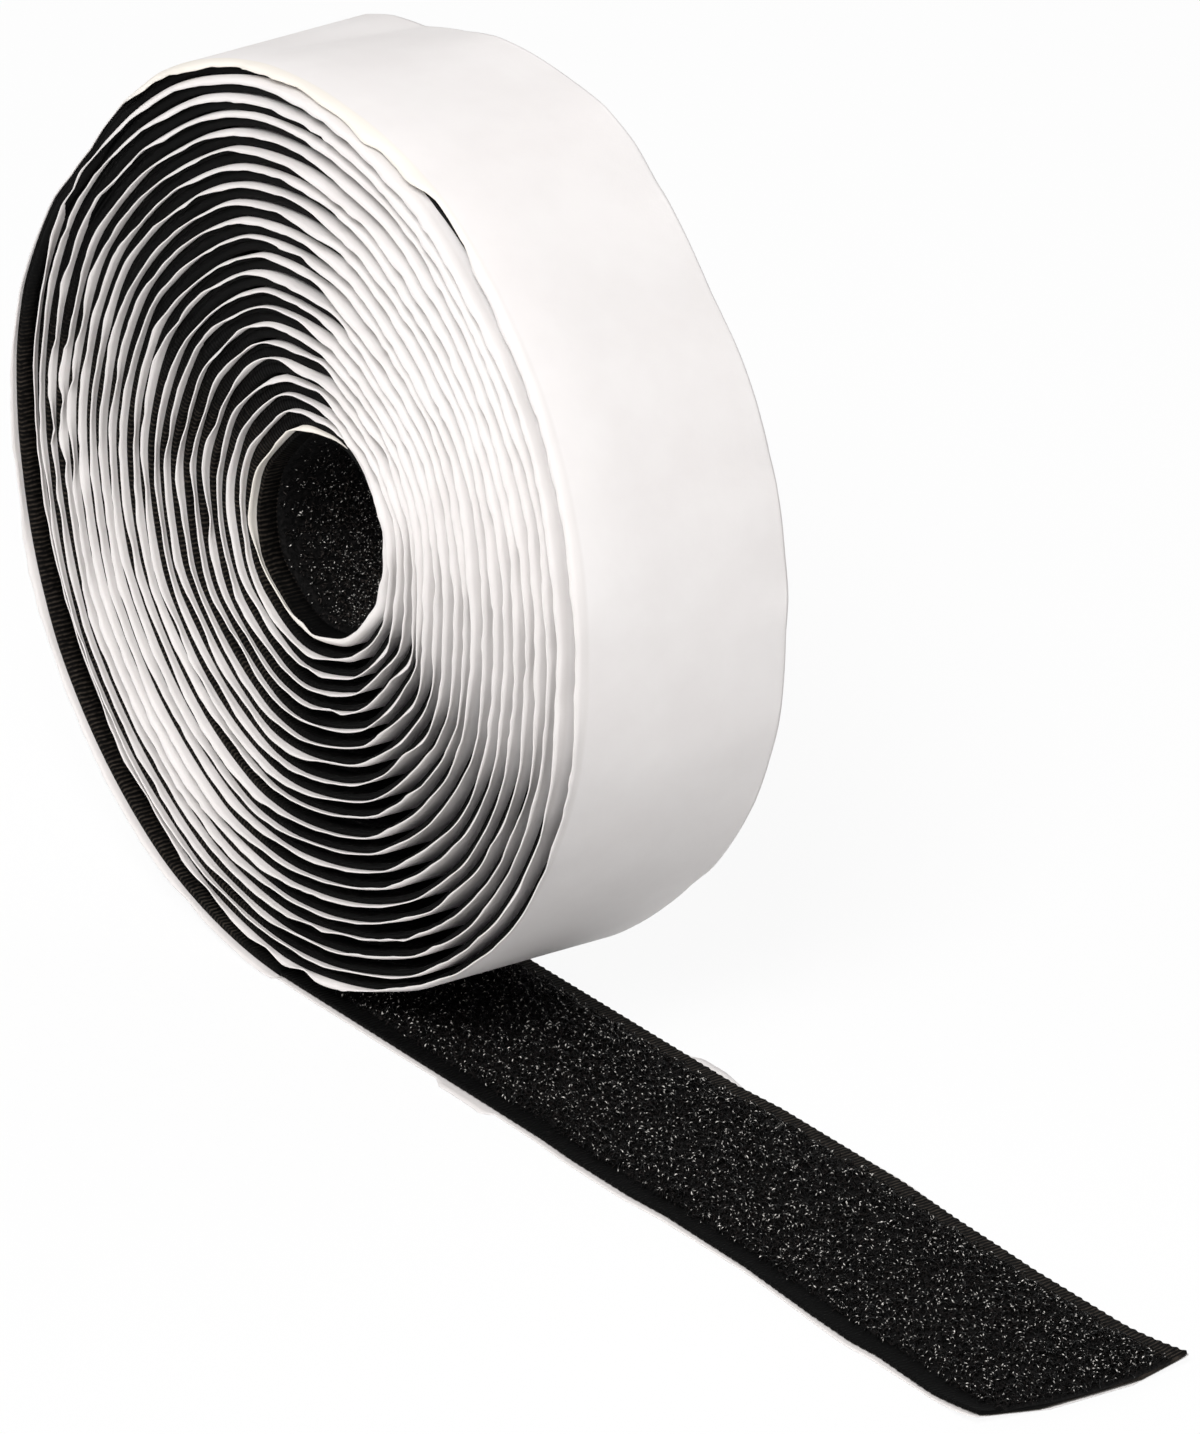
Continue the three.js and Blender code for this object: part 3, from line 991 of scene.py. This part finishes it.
# %% Pile and adhesive
def bed_finish():
    material, nodes, links, shader = new_finish("pile_shadow")
    place = object_place(nodes)
    lumps = noise(nodes, links, place, 1800.0, 3.0)
    colour = ramp(nodes, links, lumps, [(0.45, (0.001, 0.001, 0.001)), (0.7, (0.009, 0.008, 0.008))])
    links.new(colour, shader.inputs["Base Color"])
    normal = bump(nodes, links, lumps, 0.3 * mm, 1.0)
    links.new(normal, shader.inputs["Normal"])
    shader.inputs["Roughness"].default_value = 0.7
    shader.inputs["Specular IOR Level"].default_value = 0.1
    return material


def dull_nylon(name, tone):
    material, nodes, links, shader = new_finish(name)
    speckle = noise(nodes, links, object_place(nodes), 2600.0, 1.0)
    colour = ramp(nodes, links, speckle, [(0.45, (0.001, 0.001, 0.001)), (0.7, tone)])
    links.new(colour, shader.inputs["Base Color"])
    shader.inputs["Roughness"].default_value = 0.5
    shader.inputs["Specular IOR Level"].default_value = 0.1
    return material


def nylon_with_painted_glints():
    """Black, and painted pale where the loop's own attribute marks a painted highlight."""
    material, nodes, links, shader = new_finish("nylon_with_painted_glints")
    painted_glint = nodes.new("ShaderNodeAttribute")
    painted_glint.attribute_name = "painted_glint"
    # The pale stop is a painted highlight, not a colour of the nylon.
    stops = [(0.3, (0.002, 0.002, 0.002)), (0.9, (0.95, 0.91, 0.86))]
    colour = ramp(nodes, links, painted_glint.outputs["Fac"], stops)
    links.new(colour, shader.inputs["Base Color"])
    shader.inputs["Roughness"].default_value = 0.3
    shader.inputs["Specular IOR Level"].default_value = 0.2
    return material


def tacky():
    material, nodes, links, shader = new_finish("tacky_adhesive")
    place = object_place(nodes)
    smear = noise(nodes, links, place, 300.0, 3.0)
    colour = ramp(nodes, links, smear, [(0.3, (0.03, 0.028, 0.022)), (0.7, (0.06, 0.055, 0.045))])
    links.new(colour, shader.inputs["Base Color"])
    normal = bump(nodes, links, smear, 0.1 * mm, 0.5)
    links.new(normal, shader.inputs["Normal"])
    shader.inputs["Roughness"].default_value = 0.18
    return material


# %% Dress the pieces
liner_paper = paper()
woven_black = weave()
pile_dark = bed_finish()
dull_loop = dull_nylon("dull_nylon", (0.020, 0.016, 0.015))
# The bore's loops use a three times lighter copy of the dull nylon: painted light for the lit inside of the
# bore.
bore_loop_painted_light = dull_nylon("bore_nylon_painted_light", (0.060, 0.050, 0.045))
painted_glint_nylon = nylon_with_painted_glints()
adhesive_clear = tacky()


def dress(piece, material):
    piece.data.materials.clear()
    piece.data.materials.append(material)


for piece in (wound_liner, tail_liner):
    dress(piece, liner_paper)
for piece in (wound_ground, wound_curl, near_ground, end_ground):
    dress(piece, woven_black)
for piece in (wound_bed, near_bed, end_bed):
    dress(piece, pile_dark)
for piece in (*near_loops, end_loops):
    dress(piece, dull_loop)
dress(bore_loops, bore_loop_painted_light)
for piece in (near_gloss, end_gloss, bore_gloss):
    dress(piece, painted_glint_nylon)
for piece in (near_adhesive, end_adhesive):
    dress(piece, adhesive_clear)

# %% [markdown]
# ## What moves with what
#
# The winding stays with the roll. Tape has no pin to turn on. Here the tail and its end only have their
# places baked into their meshes; nothing bends them at their hinge lines.


def bend_at_lift(piece):
    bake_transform(piece)


def bend_at_peel(piece):
    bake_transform(piece)


for piece in (wound_liner, wound_ground, wound_bed, wound_curl, bore_loops, bore_gloss):
    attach(piece, "roll")
for piece in (tail_liner, near_ground, near_bed, near_adhesive, *near_loops, near_gloss):
    bend_at_lift(piece)
for piece in (end_ground, end_bed, end_adhesive, end_loops, end_gloss):
    bend_at_peel(piece)
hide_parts("wound_release_liner")
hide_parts("wound_woven_ground")
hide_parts("wound_loop_pile")
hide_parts("tail_release_liner")
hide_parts("tail_woven_ground")
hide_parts("tail_loop_pile")
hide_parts("tail_adhesive")
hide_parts("end_woven_ground")
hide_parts("end_loop_pile")
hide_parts("end_adhesive")

# %% [markdown]
# ## Camera, light and floor
#
# The camera was fitted to the outlines of the roll and the tail, so its numbers are odd.

# %% Camera
IMAGE_WIDTH, IMAGE_HEIGHT = 1200, 1434
CENTRE_PIXEL = (388.3, 516.4)
DISTANCE = 1.0415
FOCAL_PIXELS = 9530.0
AZIMUTH, ELEVATION, ROLL = 51.93, 23.73, 2.565
SENSOR_WIDTH = 36.0

a, e, r = (math.radians(v) for v in (AZIMUTH, ELEVATION, ROLL))
back = Vector((math.sin(a) * math.cos(e), -math.cos(a) * math.cos(e), math.sin(e)))
right = (-back).cross(Vector((0, 0, 1))).normalized()
up = right.cross(-back)
right_rolled = math.cos(r) * right + math.sin(r) * up
up_rolled = -math.sin(r) * right + math.cos(r) * up
offset_x = (CENTRE_PIXEL[0] - IMAGE_WIDTH / 2) / FOCAL_PIXELS
offset_y = -(CENTRE_PIXEL[1] - IMAGE_HEIGHT / 2) / FOCAL_PIXELS
camera_at = Vector((0, 0, axis_z)) - DISTANCE * (right_rolled * offset_x + up_rolled * offset_y - back)

camera_data = bpy.data.cameras.new("camera")
camera = add_object("camera", camera_data)
camera_turn = Matrix((right_rolled, up_rolled, back)).transposed().to_4x4()
camera.matrix_world = Matrix.Translation(camera_at) @ camera_turn
camera_data.sensor_width = SENSOR_WIDTH
camera_data.lens = FOCAL_PIXELS / IMAGE_HEIGHT * SENSOR_WIDTH
camera_data.clip_start = 0.01
camera_data.clip_end = 100.0
bpy.context.scene.camera = camera
print("camera at", [round(v, 3) for v in camera_at], "lens", round(camera_data.lens, 1))

# %% [markdown]
# The key lamp stands above the camera and whitens the paper. The lamp at the left lights the narrow flanges
# on the side of the roll. The weak ones above and behind keep the top and the far side from going grey.

# %% Lights
LAMP_TARGET = Vector((0.0, 0.0, 0.05))
LAMPS = [
    ("key", (0.57, -0.78, 1.00), (0.5, 0.6), 16.0),
    ("left", (-0.9, -1.1, 0.5), (0.9, 0.9), 3.5),
    ("top", (-0.2, 0.3, 1.4), (0.9, 0.9), 2.0),
    ("back", (-0.4, 1.2, 0.5), (0.9, 0.9), 4.0),
]
WORLD_STRENGTH = 0.27


def soft_box(name, place, size, power):
    """A rectangular lamp that faces the roll."""
    data = bpy.data.lights.new(name, "AREA")
    data.shape = "RECTANGLE"
    data.size, data.size_y = size
    data.energy = power
    lamp = add_object(name, data)
    lamp.location = place
    lamp.rotation_euler = (Vector(place) - LAMP_TARGET).to_track_quat("Z", "Y").to_euler()


for lamp_values in LAMPS:
    soft_box(*lamp_values)

world = bpy.data.worlds.new("studio")
bpy.context.scene.world = world
world.use_nodes = True
background = world.node_tree.nodes["Background"]
background.inputs["Color"].default_value = (1.0, 1.0, 1.0, 1.0)
background.inputs["Strength"].default_value = WORLD_STRENGTH
bpy.context.scene.view_settings.view_transform = "Standard"

# %% [markdown]
# The floor glows a little towards the camera, so it is as white as the background and keeps only a faint
# shadow. To every other ray it is plain pale paint.

# %% Floor
FLOOR_HALF = 6.0
FLOOR_DROP = 0.02 * mm
GLOW_SHARE = 0.92


def floor_finish():
    material, nodes, links, shader = new_finish("pale_floor")
    shader.inputs["Base Color"].default_value = (0.9, 0.9, 0.9, 1.0)
    shader.inputs["Roughness"].default_value = 0.9
    shader.inputs["Specular IOR Level"].default_value = 0.0
    glow = nodes.new("ShaderNodeEmission")
    glow.inputs["Color"].default_value = (1.0, 1.0, 1.0, 1.0)
    glow.inputs["Strength"].default_value = 1.0
    seen = nodes.new("ShaderNodeLightPath")
    rays = [seen.outputs[f"Is {kind} Ray"] for kind in ("Camera", "Glossy", "Transmission")]
    share = nodes.new("ShaderNodeMath")
    share.operation = "MULTIPLY"
    share.inputs[1].default_value = GLOW_SHARE
    links.new(combined(nodes, links, *rays, operation="MAXIMUM"), share.inputs[0])
    mix = nodes.new("ShaderNodeMixShader")
    links.new(share.outputs[0], mix.inputs["Fac"])
    links.new(shader.outputs["BSDF"], mix.inputs[1])
    links.new(glow.outputs["Emission"], mix.inputs[2])
    links.new(mix.outputs["Shader"], nodes["Material Output"].inputs["Surface"])
    return material


bm = bmesh.new()
bmesh.ops.create_grid(bm, x_segments=2, y_segments=2, size=FLOOR_HALF)
floor_mesh = bpy.data.meshes.new("floor")
bm.to_mesh(floor_mesh)
bm.free()
floor_mesh.transform(Matrix.Translation((0, 0, -FLOOR_DROP)))
floor = add_object("floor", floor_mesh)
floor.data.materials.append(floor_finish())
